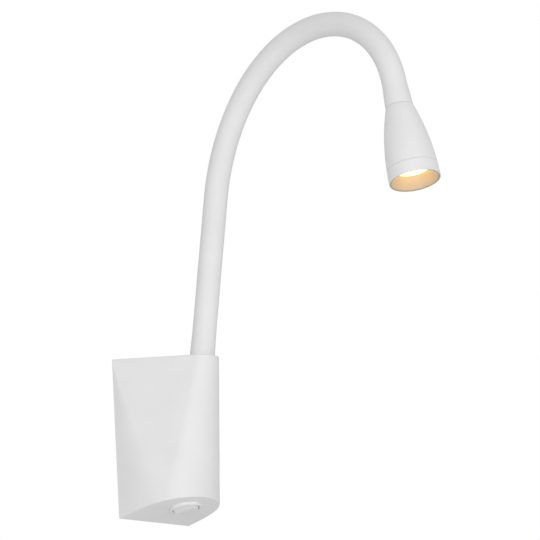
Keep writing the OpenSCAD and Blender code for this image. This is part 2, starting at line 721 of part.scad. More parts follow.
module heat_sink() color(aluminium) head_frame() difference() {
    union() {
        translate([0, 0, sink_x]) cylinder(r = spigot_r - fit, h = sink_disc_t);
        translate([0, 0, sink_x - fin_count * fin_pitch])
            cylinder(r = sink_core_r, h = fin_count * fin_pitch);
        for (i = [1 : fin_count]) {
            x = sink_x - i * fin_pitch;
            translate([0, 0, x]) cylinder(r = head_r(x) - head_wall - fin_gap, h = fin_t);
        }
    }
    translate([0, 0, sink_x - fin_count * fin_pitch - past])
        cylinder(d = nipple_bore, h = head_l);
    for (turn = [0, half_turn]) rotate([0, 0, turn])
        translate([led_screw_r, 0, sink_front - led_screw_l + board_t])
            cylinder(d = led_screw_d + 2 * fit, h = head_l);
}
module led_board() color(board_white) head_frame() translate([0, 0, sink_front]) difference() {
    cylinder(r = board_r, h = board_t);
    for (turn = [0, half_turn]) rotate([0, 0, turn]) translate([led_screw_r, 0, -past])
        cylinder(d = led_screw_d + 2 * hole_gap, h = board_t + 2 * past);
}
module led_emitter() color(phosphor) head_frame() translate([0, 0, sink_front + board_t])
    cylinder(r = emitter_r, h = emitter_t);
module led_screws() color(steel) head_frame() for (turn = [0, half_turn])
    rotate([0, 0, turn]) translate([led_screw_r, 0, sink_front + board_t])
        pan_screw(led_screw_d, led_screw_l - fit, led_head_d, led_head_h);
module lens() color(lens_white) head_frame() translate([0, 0, disc_x - lens_t])
    cylinder(r = lens_r - fit, h = lens_t);
module baffle() color(baffle_white) head_frame() rotate_extrude() polygon([
    [disc_r, disc_x], [disc_r + cone_t, disc_x],
    [mouth_r - rim_t - fit, head_l - baffle_recess - baffle_land],
    [mouth_r - rim_t - fit, head_l - baffle_recess],
    [mouth_r - rim_t - cone_t, head_l - baffle_recess]]);
module bezel_ring() color(white_paint) head_frame() rotate_extrude() polygon([
    [spigot_r - fit, seam_x - spigot_l], [spigot_r - fit, seam_x + seam_gap],
    [head_r(seam_x + seam_gap), seam_x + seam_gap], [head_r(seam_x + bezel_l / 2), seam_x + bezel_l / 2],
    [mouth_r, head_l - rim_edge], [mouth_r - rim_edge, head_l],
    [mouth_r - rim_t, head_l], [mouth_r - rim_t, head_l - rim_bore_l],
    [lens_r, disc_x], [lens_r, disc_x - lens_t], [disc_r, disc_x - lens_t], [disc_r, shelf_x],
    [spigot_r - spigot_wall, shelf_x], [spigot_r - spigot_wall, seam_x - spigot_l]]);

housing_shell();
wall_bracket();
cable_grommet();
cover_screws();
led_driver();
driver_screws();
terminal_block();
terminal_screws();
block_screws();
switch_body();
switch_rocker();
switch_plunger();
switch_spring();
switch_contact();
switch_terminals();
internal_leads();
base_nipple();
base_washer();
base_nut();
base_collar();
arm_cable();
for (i = [1 : piece_count]) arm_sleeve(i);
for (i = [1 : piece_count + 1]) arm_core(i);
head_collar();
head_nipple();
head_nut();
head_shell();
heat_sink();
led_board();
led_emitter();
led_screws();
lens();
baffle();
bezel_ring();
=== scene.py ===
"""Looks of a flexible wall light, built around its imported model.

Metres, with the wall in the plane Y = 0 and +Z up.
"""
import json
import math

import bmesh
import bpy
from mathutils import Matrix, Vector


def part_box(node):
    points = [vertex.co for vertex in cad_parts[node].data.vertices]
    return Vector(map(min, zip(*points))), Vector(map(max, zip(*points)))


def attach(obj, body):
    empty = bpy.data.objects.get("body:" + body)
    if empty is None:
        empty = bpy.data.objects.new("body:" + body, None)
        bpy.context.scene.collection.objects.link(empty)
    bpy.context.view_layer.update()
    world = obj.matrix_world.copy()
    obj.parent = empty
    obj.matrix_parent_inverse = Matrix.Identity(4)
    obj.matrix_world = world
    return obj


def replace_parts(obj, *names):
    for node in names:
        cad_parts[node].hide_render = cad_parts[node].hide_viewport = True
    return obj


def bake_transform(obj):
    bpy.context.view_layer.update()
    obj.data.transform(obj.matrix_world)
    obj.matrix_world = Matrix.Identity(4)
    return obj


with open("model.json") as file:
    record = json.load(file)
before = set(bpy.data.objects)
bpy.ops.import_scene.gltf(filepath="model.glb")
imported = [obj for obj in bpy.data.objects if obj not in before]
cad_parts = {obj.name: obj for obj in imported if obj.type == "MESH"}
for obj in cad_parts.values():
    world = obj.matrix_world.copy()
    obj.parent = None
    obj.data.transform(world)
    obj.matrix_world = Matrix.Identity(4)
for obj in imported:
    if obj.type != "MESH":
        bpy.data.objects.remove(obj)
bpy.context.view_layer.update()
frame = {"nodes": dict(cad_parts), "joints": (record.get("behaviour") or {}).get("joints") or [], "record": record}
scene = bpy.context.scene
nodes = frame["nodes"]
joints = {joint["name"]: joint for joint in frame["joints"]}
MM = 0.001

# Working distances: merged points, the slack of a plane cut, and how far cutters reach past a face
MERGE = 0.002 * MM
PLANE_SLACK = 0.001 * MM
PAST = 1 * MM
SKIM = 0.01 * MM

# Fineness of round shapes, and the angles in degrees from which an edge is shaded sharp
TURN_STEPS = 96
ROD_SIDES = 64
EDGE_STEPS = 4
BEVEL_STEPS = 3
CREASE = 35
TURNED_CREASE = 50

# Housing: a wedge with a triangular top, a round nose and a sloping bottom
SHELL_LOW, SHELL_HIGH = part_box("housing_shell")
TOP_Z = SHELL_HIGH.z
FOOT_Z = SHELL_LOW.z
TOP_HALF = SHELL_HIGH.x
NOSE_R = 10.5 * MM
NOSE_DEPTH = -SHELL_LOW.y - NOSE_R
BOTTOM_HALF = 29 * MM
BOTTOM_DEPTH = 48.5 * MM
BOTTOM_SLOPE = math.radians(13)
BOTTOM_POWER = 0.625
SHELL_WALL = 2.2 * MM
SHELL_EDGE = 0.8 * MM
SIDE_ANGLE = math.atan2(NOSE_DEPTH, TOP_HALF) + math.asin(NOSE_R / math.hypot(TOP_HALF, NOSE_DEPTH))
NOSE_STEPS = 56
BOTTOM_STEPS = 112
FLAT_ANGLE = math.radians(0.05)
# Rows of edges over the height, and near the rims in rim roundings, which keep the shading even
SHELL_ROWS = 9
RIM_ROWS = (1, 2, 4)
NIPPLE_HOLE_R = 4.2 * MM
SCREW_HEAD_R = 3.05 * MM
SCREW_HOLE_R = 1.7 * MM
SCREW_HEAD_H = 1.5 * MM
RIB_REAR = -4 * MM
RIB_T = 1.8 * MM
RIB_H = 11 * MM
RIB_HALF = 11.6 * MM
SLOT_HALF = 8.3 * MM
SLOT_LOW = 6.3 * MM
SLOT_H = 1.9 * MM
BOTTOM_PLACE = Matrix.Translation((0, 0, FOOT_Z)) @ Matrix.Rotation(-BOTTOM_SLOPE, 4, "X")

# Switch: a round rocker in a raised ring
SWITCH_DEPTH = 30 * MM
SWITCH_TURN = math.radians(14)
RING_R = 10.2 * MM
RING_H = 1.8 * MM
RING_ROUND = 1.1 * MM
LIP_ROUND = 0.35 * MM
BARREL_R = 9.4 * MM
BARREL_L = 14 * MM
BARREL_FLOOR = 1.5 * MM
BARB_W = 3 * MM
BARB_H = 1.6 * MM
BLADE_X = 4.8 * MM
BLADE_W = 4 * MM
BLADE_T = 1.2 * MM
ROCKER_R = 8.55 * MM
ROCKER_GAP = 0.15 * MM
ROCKER_FOOT = 4 * MM
ROCKER_RIDGE = 4.8 * MM
ROCKER_SLOPE = math.radians(10)
ROCKER_ROUND = 0.3 * MM
RIDGE_CREASE = 15
STEM_R = 2.5 * MM
STEM_END = 7.4 * MM
PLUNGER_BORE_R = 1.55 * MM
PLUNGER_BORE_TOP = 3 * MM
PIN_R = 1 * MM
SWITCH_CENTRE = Vector((0, -SWITCH_DEPTH, FOOT_Z + SWITCH_DEPTH * math.tan(BOTTOM_SLOPE)))
SWITCH_FACING = Matrix.Rotation(math.pi - BOTTOM_SLOPE, 4, "X") @ Matrix.Rotation(-SWITCH_TURN, 4, "Z")
SWITCH_PLACE = Matrix.Translation(SWITCH_CENTRE) @ SWITCH_FACING
PIVOT_PLACE = Matrix.Translation(joints["switch_rock"]["pos_m"]) @ SWITCH_FACING
PIN_TURN = Matrix.Rotation(math.pi / 2, 4, "X")

# Arm: its lean at the foot and the bend of each link, in degrees
ARM_LEAN = 7
LINK_BENDS = (0, 0, 16, 17, 20, 22, 24, 28, 31)
SLEEVE_R = 7.5 * MM
SLEEVE_WALL = 1.3 * MM
COLLAR_L = 18 * MM
COLLAR_SINK = 2 * MM
BASE_COLLAR_R = 7.8 * MM
HEAD_COLLAR_R = 8.35 * MM
NECK_GAP = 0.2 * MM
CABLE_R = 2 * MM
CABLE_IN_HEAD = 33.5 * MM
CABLE_TURN = 14 * MM
SLEEVE_SIDES = 48
CABLE_SIDES = 12
HALF_LINK_STEPS = 8
SEAM_SLIVER = 0.2 * MM

# Head: a swelling shell, a bezel ring with a grey ring of painted shade in its lip, a conical baffle and the lit
# lens
HEAD_L = 48 * MM
NECK_R = 8.5 * MM
MOUTH_R = 15.5 * MM
HEAD_SWELL = 2.1
HEAD_WALL = 1.6 * MM
HEAD_STEPS = 24
SEAM_X = 40 * MM
SEAM_GAP = 0.15 * MM
HEAD_ROUND = 0.12 * MM
BACK_WALL = 3 * MM
SPIGOT_L = 6.4 * MM
SPIGOT_WALL = 1 * MM
SPIGOT_PLAY = 0.05 * MM
SINK_T = 3 * MM
RIM_T = 0.8 * MM
RIM_BORE_L = 2.5 * MM
LIP_T = 0.5 * MM
# The grey ring in the bezel's lip is painted shade: it draws the shade at the mouth's rim as a line
SHADE_RING_W = 0.5 * MM
SHADE_RING_L = 0.35 * MM
SHADE_RING_SINK = 0.02 * MM
DISC_R = 10.4 * MM
DISC_X = 40 * MM
LENS_R = 11.95 * MM
LENS_T = 2 * MM
LENS_SEAT_R = 12 * MM
LENS_CROWN = 0.3 * MM
SHELF_T = 1.2 * MM
CONE_T = 0.5 * MM
CONE_ROUND = 0.1 * MM
BAFFLE_RECESS = 0.4 * MM
BAFFLE_LAND = 0.8 * MM
BAFFLE_GAP = 0.05 * MM

# Finishes: where the two tones of a surface lie in its slow noise, and how strong its relief is
TONE_STOPS = (0.35, 0.65)
TONE_DETAIL = 3.0
GRAIN_DETAIL = 2.0
RELIEF_STRENGTH = 0.6
# The lens light: warm, and bright enough to look white
LENS_LIGHT = "#ffd476"
LENS_STRENGTH = 2.6

# Camera and stage: the view is from the left and a little below
IMAGE_SIDE = 540
FOCAL_PIXELS = 3200
SENSOR = 36
VIEW_AZIMUTH = math.radians(-42.48)
VIEW_ELEVATION = math.radians(-11.54)
VIEW_DISTANCE = 2.0159
VIEW_RIGHT = 0.0728
VIEW_UP = 0.159
VIEW_END = 50
FLOOR_Z = -1.5
FLOOR_HALF = 6
LAMP_WIDTH = 1.6
LAMP_AIM = Vector((0, -0.1, 0.1))
# Each lamp's name, its direction from the light, its distance and its power in watts
LAMPS = (("key_box", (-0.7, -0.7, 0), 2.6, 24), ("front_box", (0, -1, 0), 2.6, 5),
         ("foot_box", (0, -0.3, -1), 1.3, 1.6))
WHITE = (1, 1, 1, 1)
AMBIENT_FRONT = 0.58
AMBIENT_BACK = 0.48


# Colour and node helpers
def linear(code):
    """Linear RGBA of an sRGB hex colour."""
    channels = [int(code[i:i + 2], 16) / 255 for i in (1, 3, 5)]
    return [c / 12.92 if c <= 0.04045 else ((c + 0.055) / 1.055) ** 2.4 for c in channels] + [1.0]


def add(tree, kind, inputs=None, **settings):
    """Adds a node: settings are its own properties, inputs are values or the sockets that feed it."""
    node = tree.nodes.new(kind)
    for name, value in settings.items():
        setattr(node, name, value)
    for name, value in (inputs or {}).items():
        if isinstance(value, bpy.types.NodeSocket):
            tree.links.new(value, node.inputs[name])
        else:
            node.inputs[name].default_value = value
    return node


# Mesh helpers
def along(heading):
    """Direction of the arm at a lean from straight up, towards the front."""
    return Vector((0, -math.sin(heading), math.cos(heading)))


def shares(steps):
    """Even shares of a whole, from 0 to 1."""
    return [i / steps for i in range(steps + 1)]


def ease(share):
    """A share that starts and ends gently."""
    return share * share * (3 - 2 * share)


def edges_in(geometry):
    """The edges in a list of mesh elements."""
    return [g for g in geometry if isinstance(g, bmesh.types.BMEdge)]


def points_in(geometry):
    """The points in a list of mesh elements."""
    return [g for g in geometry if isinstance(g, bmesh.types.BMVert)]


def to_object(bm, name):
    """Turns a bmesh into an object that sits at the origin."""
    mesh = bpy.data.meshes.new(name)
    bm.to_mesh(mesh)
    bm.free()
    obj = bpy.data.objects.new(name, mesh)
    scene.collection.objects.link(obj)
    return obj


def mend(bm):
    """Closes seams and turns the faces outwards."""
    bmesh.ops.remove_doubles(bm, verts=bm.verts, dist=MERGE)
    bmesh.ops.recalc_face_normals(bm, faces=bm.faces)


def dress(obj, finish, crease=CREASE):
    """Smooth shading with creases at the sharp edges, and a material."""
    bm = bmesh.new()
    bm.from_mesh(obj.data)
    for face in bm.faces:
        face.smooth = True
    for edge in bm.edges:
        edge.smooth = len(edge.link_faces) == 2 and edge.calc_face_angle() < math.radians(crease)
    bm.to_mesh(obj.data)
    bm.free()
    obj.data.materials.clear()
    obj.data.materials.append(finish)
    return obj


def round_edges(bm, offset, crease=CREASE):
    """Rounds every edge that is sharper than an angle."""
    edges = [e for e in bm.edges
             if len(e.link_faces) == 2 and e.calc_face_angle() > math.radians(crease)]
    bmesh.ops.bevel(bm, geom=edges, offset=offset, segments=BEVEL_STEPS, profile=0.5, affect="EDGES",
                    material=-1, clamp_overlap=True)


def turned(profile, name, place, rounding=0):
    """A turned piece: its closed outline of (radius, height) points, spun about Z and put in place."""
    bm = bmesh.new()
    points = [bm.verts.new((radius, 0, height)) for radius, height in profile]
    lines = [bm.edges.new(pair) for pair in zip(points, points[1:] + points[:1])]
    bmesh.ops.spin(bm, geom=points + lines, cent=(0, 0, 0), axis=(0, 0, 1), angle=2 * math.pi,
                   steps=TURN_STEPS, use_merge=True)
    mend(bm)
    if rounding:
        round_edges(bm, rounding)
    bmesh.ops.transform(bm, matrix=place, verts=bm.verts)
    return to_object(bm, name)


def rod(radius, low, high, place, top_radius=None):
    """A round rod or cone between two heights, put in place."""
    bm = bmesh.new()
    bmesh.ops.create_cone(bm, cap_ends=True, segments=ROD_SIDES, radius1=radius, depth=high - low,
                          radius2=radius if top_radius is None else top_radius,
                          matrix=place @ Matrix.Translation((0, 0, (low + high) / 2)))
    return to_object(bm, "rod")


def block(low, high, place=Matrix()):
    """A box between two corners, put in place."""
    bm = bmesh.new()
    size = Vector(high) - Vector(low)
    centre = (Vector(high) + Vector(low)) / 2
    stretch = Matrix.Translation(centre) @ Matrix.Diagonal((*size, 1))
    bmesh.ops.create_cube(bm, size=1, matrix=place @ stretch)
    return to_object(bm, "block")


def plane_cut(bm, centre, normal, clear_outer=False):
    """Cuts the faces along a plane, clears what lies beyond it if asked, and gives the cut's edges."""
    geometry = bm.verts[:] + bm.edges[:] + bm.faces[:]
    cut = bmesh.ops.bisect_plane(bm, geom=geometry, dist=PLANE_SLACK, plane_co=centre, plane_no=normal,
                                 clear_outer=clear_outer)
    return edges_in(cut["geom_cut"])


def cut_off(bm, centre, normal):
    """Cuts away what lies beyond a plane and closes the cut."""
    rim = plane_cut(bm, centre, normal, clear_outer=True)
    bmesh.ops.edgeloop_fill(bm, edges=rim)


def carve(obj, steps):
    """Adds and cuts away other solids, which are used up: steps are (operation, solid) pairs."""
    for operation, solid in steps:
        change = obj.modifiers.new("carve", "BOOLEAN")
        change.operation = operation
        change.object = solid
        change.solver = "EXACT"
    bpy.context.view_layer.update()
    shape = obj.evaluated_get(bpy.context.evaluated_depsgraph_get())
    obj.data = bpy.data.meshes.new_from_object(shape)
    obj.modifiers.clear()
    for operation, solid in steps:
        bpy.data.objects.remove(solid)
    return obj


# Turns from 0 to a right angle, for rounded edges
QUARTER = [math.pi / 2 * share for share in shares(EDGE_STEPS)]


# Housing shell
def top_outline(inset, back):
    """Outline of the top seen from above, drawn in by inset and carried on to back, as (x, y) points."""
    half = TOP_HALF - inset / math.sin(SIDE_ANGLE)
    radius = NOSE_R - inset
    turns = [math.pi / 2 + SIDE_ANGLE * (1 - 2 * share) for share in shares(NOSE_STEPS)]
    nose = [(radius * math.cos(t), -NOSE_DEPTH - radius * math.sin(t)) for t in turns]
    return [(-half, back), (-half, 0)] + nose + [(half, 0), (half, back)]


def bottom_outline(inset, back):
    """Outline of the sloping bottom in its own plane, drawn in by inset and carried on to back."""
    half = BOTTOM_HALF - inset
    depth = (BOTTOM_DEPTH - inset) / math.cos(BOTTOM_SLOPE)
    turns = [math.pi * i / BOTTOM_STEPS for i in range(BOTTOM_STEPS + 1)]
    curve = [(half * math.cos(t), -depth * max(math.sin(t), 0) ** BOTTOM_POWER) for t in turns]
    return [(half, back)] + curve + [(-half, back)]


def wedge(rims, back):
    """The solid between the top and the bottom: rims are (inset, depth) pairs that round its edges."""
    bm = bmesh.new()
    for inset, depth in rims:
        for x, y in top_outline(inset, back):
            bm.verts.new((x, y, TOP_Z - depth))
        for x, y in bottom_outline(inset, back):
            bm.verts.new(BOTTOM_PLACE @ Vector((x, y, depth)))
    bmesh.ops.remove_doubles(bm, verts=bm.verts, dist=MERGE)
    hull = bmesh.ops.convex_hull(bm, input=bm.verts)
    loose = points_in(hull["geom_interior"] + hull["geom_unused"])
    bmesh.ops.delete(bm, geom=list(set(loose)), context="VERTS")
    bmesh.ops.dissolve_limit(bm, angle_limit=FLAT_ANGLE, verts=bm.verts, edges=bm.edges)
    return bm


def housing_shell(finish):
    """The moulded cover: a thin wedge, open at the wall, with its holes and its slotted rib."""
    rims = [(SHELL_EDGE * (1 - math.sin(t)), SHELL_EDGE * (1 - math.cos(t))) for t in QUARTER]
    bm = wedge(rims, PAST)
    cut_off(bm, (0, 0, 0), (0, 1, 0))
    bottom_normal = BOTTOM_PLACE.to_3x3() @ Vector((0, 0, 1))
    for row in range(1, SHELL_ROWS):
        plane_cut(bm, (0, 0, FOOT_Z + (TOP_Z - FOOT_Z) * row / SHELL_ROWS), (0, 0, 1))
    for row in RIM_ROWS:
        plane_cut(bm, (0, 0, TOP_Z - row * SHELL_EDGE), (0, 0, 1))
        plane_cut(bm, BOTTOM_PLACE @ Vector((0, 0, row * SHELL_EDGE)), bottom_normal)
    mend(bm)
    shell = to_object(bm, "moulded_housing")
    hollow = to_object(wedge([(SHELL_WALL, SHELL_WALL)], PAST), "hollow")
    screw_low, screw_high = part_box("cover_screws")
    screw_y = (screw_low.y + screw_high.y) / 2
    screw_x = screw_high.x - SCREW_HEAD_R
    rib = block((-RIB_HALF, RIB_REAR - RIB_T, FOOT_Z + SHELL_WALL), (RIB_HALF, RIB_REAR, FOOT_Z + RIB_H))
    slot = block((-SLOT_HALF, RIB_REAR - RIB_T - PAST, FOOT_Z + SLOT_LOW),
                 (SLOT_HALF, RIB_REAR + PAST, FOOT_Z + SLOT_LOW + SLOT_H))
    nose_top = Matrix.Translation((0, -NOSE_DEPTH, TOP_Z))
    through = -SHELL_WALL - PAST
    steps = [("DIFFERENCE", hollow), ("UNION", rib), ("DIFFERENCE", slot),
             ("DIFFERENCE", rod(NIPPLE_HOLE_R, through, PAST, nose_top)),
             ("DIFFERENCE", rod(BARREL_R, through, PAST, SWITCH_PLACE))]
    for x in (-screw_x, screw_x):
        screw_top = Matrix.Translation((x, screw_y, TOP_Z))
        hole = rod(SCREW_HOLE_R, through, PAST, screw_top)
        countersink = rod(SCREW_HOLE_R, -SCREW_HEAD_H, SKIM, screw_top, SCREW_HEAD_R)
        steps += [("DIFFERENCE", hole), ("DIFFERENCE", countersink)]
    carve(shell, steps)
    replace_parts(shell, "housing_shell")
    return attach(dress(shell, finish), "housing")


# Switch
def switch_ring(finish):
    """The switch body: a round-edged ring on a barrel that snaps into the bottom face."""
    bore = ROCKER_R + ROCKER_GAP
    foot = -BARREL_L - BARREL_FLOOR
    outer = [(RING_R - RING_ROUND * (1 - math.cos(t)), RING_H * math.sin(t)) for t in QUARTER]
    inner = [(bore + LIP_ROUND * (1 - math.sin(t)), RING_H - LIP_ROUND * (1 - math.cos(t)))
             for t in QUARTER]
    barrel = [(bore, -BARREL_L), (0, -BARREL_L), (0, foot), (BARREL_R, foot), (BARREL_R, 0)]
    ring = turned(outer + inner + barrel, "switch_ring", SWITCH_PLACE)
    barb_top = -SHELL_WALL - ROCKER_GAP
    steps = [("DIFFERENCE", rod(PIN_R + ROCKER_GAP / 2, -RING_R, RING_R, PIVOT_PLACE @ PIN_TURN))]
    for turn in (0, math.pi):
        side = SWITCH_PLACE @ Matrix.Rotation(turn, 4, "Z")
        low = (BARREL_R - ROCKER_GAP, -BARB_W / 2, barb_top - BARB_H)
        high = (RING_R, BARB_W / 2, barb_top)
        steps.append(("UNION", block(low, high, side)))
    for x in (0, BLADE_X):
        low = (x - BLADE_T / 2 - ROCKER_GAP, -BLADE_W / 2 - ROCKER_GAP, foot - PAST)
        high = (x + BLADE_T / 2 + ROCKER_GAP, BLADE_W / 2 + ROCKER_GAP, PAST - BARREL_L)
        steps.append(("DIFFERENCE", block(low, high, SWITCH_PLACE)))
    carve(ring, steps)
    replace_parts(ring, "switch_body")
    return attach(dress(ring, finish, crease=TURNED_CREASE), "housing")


def rocker(finish):
    """The rocker: a ball cut to two shallow slopes that meet in a ridge, with its pins and its stem."""
    place = PIVOT_PLACE @ Matrix.Rotation(-ROCKER_SLOPE, 4, "Y")
    bm = bmesh.new()
    bmesh.ops.create_uvsphere(bm, u_segments=TURN_STEPS, v_segments=TURN_STEPS // 2, radius=ROCKER_R)
    lean = Vector((math.sin(ROCKER_SLOPE), 0, math.cos(ROCKER_SLOPE)))
    cuts = [((0, 0, -ROCKER_FOOT), (0, 0, -1)), ((0, 0, ROCKER_RIDGE), lean),
            ((0, 0, ROCKER_RIDGE), lean * Vector((-1, 1, 1)))]
    for centre, normal in cuts:
        cut_off(bm, centre, normal)
    mend(bm)
    round_edges(bm, ROCKER_ROUND, crease=RIDGE_CREASE)
    bmesh.ops.transform(bm, matrix=place, verts=bm.verts)
    button = to_object(bm, "switch_button")
    carve(button, [("UNION", rod(STEM_R, -STEM_END, -ROCKER_FOOT / 2, place)),
                   ("UNION", rod(PIN_R, -BARREL_R, BARREL_R, place @ PIN_TURN)),
                   ("DIFFERENCE", rod(PLUNGER_BORE_R, -STEM_END - PAST, -PLUNGER_BORE_TOP, place))])
    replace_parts(button, "switch_rocker")
    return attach(dress(button, finish), "rocker")


# Arm
ARM_JOINTS = [joint for joint in frame["joints"] if joint["name"].startswith("arm_")]
JOINT_PLACES = [Vector(joint["pos_m"]) for joint in ARM_JOINTS]
HEADINGS = [math.radians(ARM_LEAN + sum(LINK_BENDS[:i])) for i in range(len(LINK_BENDS) + 1)]
LINK_L = (JOINT_PLACES[1] - JOINT_PLACES[0]).length
ARM_ROOT = Vector((0, -NOSE_DEPTH, TOP_Z))
STUB_L = (JOINT_PLACES[0] - ARM_ROOT).length - COLLAR_L
STUB_FOOT = ARM_ROOT + COLLAR_L * along(HEADINGS[0])
BASE_PLACE = Matrix.Translation(ARM_ROOT) @ Matrix.Rotation(HEADINGS[0], 4, "X")
HEAD_ROOT = JOINT_PLACES[-1] + COLLAR_L * along(HEADINGS[-1])
HEAD_PLACE = Matrix.Translation(HEAD_ROOT) @ Matrix.Rotation(HEADINGS[-1], 4, "X")


def link_point(link, share):
    """Place and heading at a share of a link's length."""
    bend = math.radians(LINK_BENDS[link]) * share
    start = HEADINGS[link]
    end = start + bend
    length = LINK_L * share
    if bend == 0:
        return JOINT_PLACES[link] + length * along(start), start
    radius = length / bend
    step = Vector((0, math.cos(end) - math.cos(start), math.sin(end) - math.sin(start)))
    return JOINT_PLACES[link] + radius * step, end


def carry(bm, ring, place, heading, length, bend, steps, grow=None):
    """Carries a ring of edges on: round the link's own centre where it bends, else straight ahead.

    On a straight stretch, grow gives the ring's size at each share of the way, against its first size.
    """
    if bend:
        centre = place + length / bend * Vector((0, -math.cos(heading), -math.sin(heading)))
        made = bmesh.ops.spin(bm, geom=ring, cent=centre, axis=(1, 0, 0), angle=bend, steps=steps)
        return edges_in(made["geom_last"])
    size = 1
    for i in range(1, steps + 1):
        made = bmesh.ops.extrude_edge_only(bm, edges=ring)["geom"]
        ring = edges_in(made)
        points = points_in(made)
        bmesh.ops.translate(bm, verts=points, vec=along(heading) * length / steps)
        if grow:
            centre = place + along(heading) * length * i / steps
            change = grow(i / steps) / size
            size = grow(i / steps)
            bmesh.ops.scale(bm, vec=(change,) * 3, verts=points, space=Matrix.Translation(-centre))
    return ring


def start_ring(bm, radius, sides, place, heading):
    """A ring of edges square to the arm, the first in its mesh."""
    square = Matrix.Translation(place) @ Matrix.Rotation(heading, 4, "X")
    bmesh.ops.create_circle(bm, radius=radius, segments=sides, matrix=square)
    return bm.edges[:]


def arm_stretches(k):
    """The stretches of arm round joint k, from the middle of one link to the middle of the next.

    Each is (place, heading, length, bend, steps). A sliver at each end keeps the shading whole at the
    seams.
    """
    share = SEAM_SLIVER / LINK_L
    marks = []
    halves = []
    if k == 0:
        rest = STUB_L - SEAM_SLIVER
        for offset, length, steps in ((0, SEAM_SLIVER, 1), (SEAM_SLIVER, rest, HALF_LINK_STEPS)):
            marks.append((STUB_FOOT + offset * along(HEADINGS[0]), HEADINGS[0], length, 0, steps))
    else:
        halves += [(k - 1, 0.5, 0.5 + share, 1), (k - 1, 0.5 + share, 1, HALF_LINK_STEPS)]
    if k < len(LINK_BENDS):
        halves += [(k, 0, 0.5 - share, HALF_LINK_STEPS), (k, 0.5 - share, 0.5, 1)]
    for link, low, high, steps in halves:
        place, heading = link_point(link, low)
        bend = math.radians(LINK_BENDS[link]) * (high - low)
        marks.append((place, heading, (high - low) * LINK_L, bend, steps))
    return marks


def collar_growth(share):
    """Size of the head's collar along its length: it opens gently towards the head."""
    return 1 + (HEAD_COLLAR_R / SLEEVE_R - 1) * ease(share)


def arm_piece(k, name, radius, sides, wall=0):
    """A length of sleeve or cable round joint k, curved as the arm stands."""
    bm = bmesh.new()
    marks = arm_stretches(k)
    ring = start_ring(bm, radius, sides, marks[0][0], marks[0][1])
    first = ring
    for place, heading, length, bend, steps in marks:
        ring = carry(bm, ring, place, heading, length, bend, steps)
    if k == len(LINK_BENDS):
        growth = collar_growth if wall else None
        length = COLLAR_L - NECK_GAP if wall else COLLAR_L + CABLE_IN_HEAD
        ring = carry(bm, ring, JOINT_PLACES[k], HEADINGS[k], length, 0, 2 * HALF_LINK_STEPS, growth)
    if wall:
        bmesh.ops.recalc_face_normals(bm, faces=bm.faces)
        bmesh.ops.solidify(bm, geom=bm.faces[:], thickness=wall)
    else:
        for edges in (first, ring):
            bmesh.ops.edgeloop_fill(bm, edges=edges)
    mend(bm)
    return to_object(bm, name)


def bend_at(piece):
    """Bakes the place of a piece of the arm into its mesh."""
    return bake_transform(piece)


def cable_foot(finish):
    """The start of the cable, which turns up from the driver and goes through the foot of the arm."""
    driver_low, driver_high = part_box("led_driver")
    nipple_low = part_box("base_nipple")[0]
    driver_face = Vector((0, driver_low.y, (driver_low.z + driver_high.z) / 2))
    foot = Vector((0, -NOSE_DEPTH, nipple_low.z))
    route = ((driver_face, Vector((0, -CABLE_TURN, 0))), (foot, Vector((0, 0, CABLE_TURN))),
             (STUB_FOOT, CABLE_TURN * along(HEADINGS[0])))
    curve = bpy.data.curves.new("cable_route", "CURVE")
    curve.dimensions = "3D"
    curve.bevel_depth = CABLE_R
    curve.use_fill_caps = True
    spline = curve.splines.new("BEZIER")
    spline.bezier_points.add(len(route) - 1)
    for point, (place, reach) in zip(spline.bezier_points, route):
        point.co = place
        point.handle_left = place - reach
        point.handle_right = place + reach
    line = bpy.data.objects.new("cable_route", curve)
    bm = bmesh.new()
    bm.from_mesh(line.to_mesh())
    mend(bm)
    bpy.data.objects.remove(line)
    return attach(dress(to_object(bm, "cable_foot"), finish), "housing")


def flexible_arm(sleeve_finish, cable_finish):
    """The smooth sleeve and the cable in it, in curved lengths round the joints, which meet between them."""
    for k in range(len(ARM_JOINTS)):
        sleeve = arm_piece(k, f"sleeve_{k + 1}", SLEEVE_R, SLEEVE_SIDES, SLEEVE_WALL)
        dress(sleeve, sleeve_finish)
        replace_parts(bend_at(sleeve), f"arm_sleeve_{k + 1}")
        cable = arm_piece(k, f"cable_{k + 1}", CABLE_R, CABLE_SIDES)
        dress(cable, cable_finish)
        bend_at(cable)
        if k == 0:
            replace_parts(cable, "arm_cable")
    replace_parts(sleeve, "head_collar")


def base_collar(finish):
    """The flared foot of the sleeve, cut level where it stands on the housing."""
    bore = SLEEVE_R - SLEEVE_WALL
    flare = [(SLEEVE_R + (BASE_COLLAR_R - SLEEVE_R) * (1 - ease(s)), COLLAR_L * s)
             for s in shares(HALF_LINK_STEPS)]
    outline = [(bore, -COLLAR_SINK), (BASE_COLLAR_R, -COLLAR_SINK)] + flare + [(bore, COLLAR_L)]
    collar = turned(outline, "sleeve_foot", BASE_PLACE)
    bm = bmesh.new()
    bm.from_mesh(collar.data)
    rims = plane_cut(bm, (0, 0, TOP_Z), (0, 0, -1), clear_outer=True)
    bmesh.ops.bridge_loops(bm, edges=rims)
    mend(bm)
    bm.to_mesh(collar.data)
    bm.free()
    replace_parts(collar, "base_collar")
    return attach(dress(collar, finish), "housing")


# Head
def head_radius(x):
    """Outer radius of the head at a distance from the collar."""
    return MOUTH_R - (MOUTH_R - NECK_R) * ((HEAD_L - x) / HEAD_L) ** HEAD_SWELL


SPIGOT_R = head_radius(SEAM_X) - HEAD_WALL
SPIGOT_BACK = SEAM_X - SPIGOT_L
SINK_X = SPIGOT_BACK - SINK_T


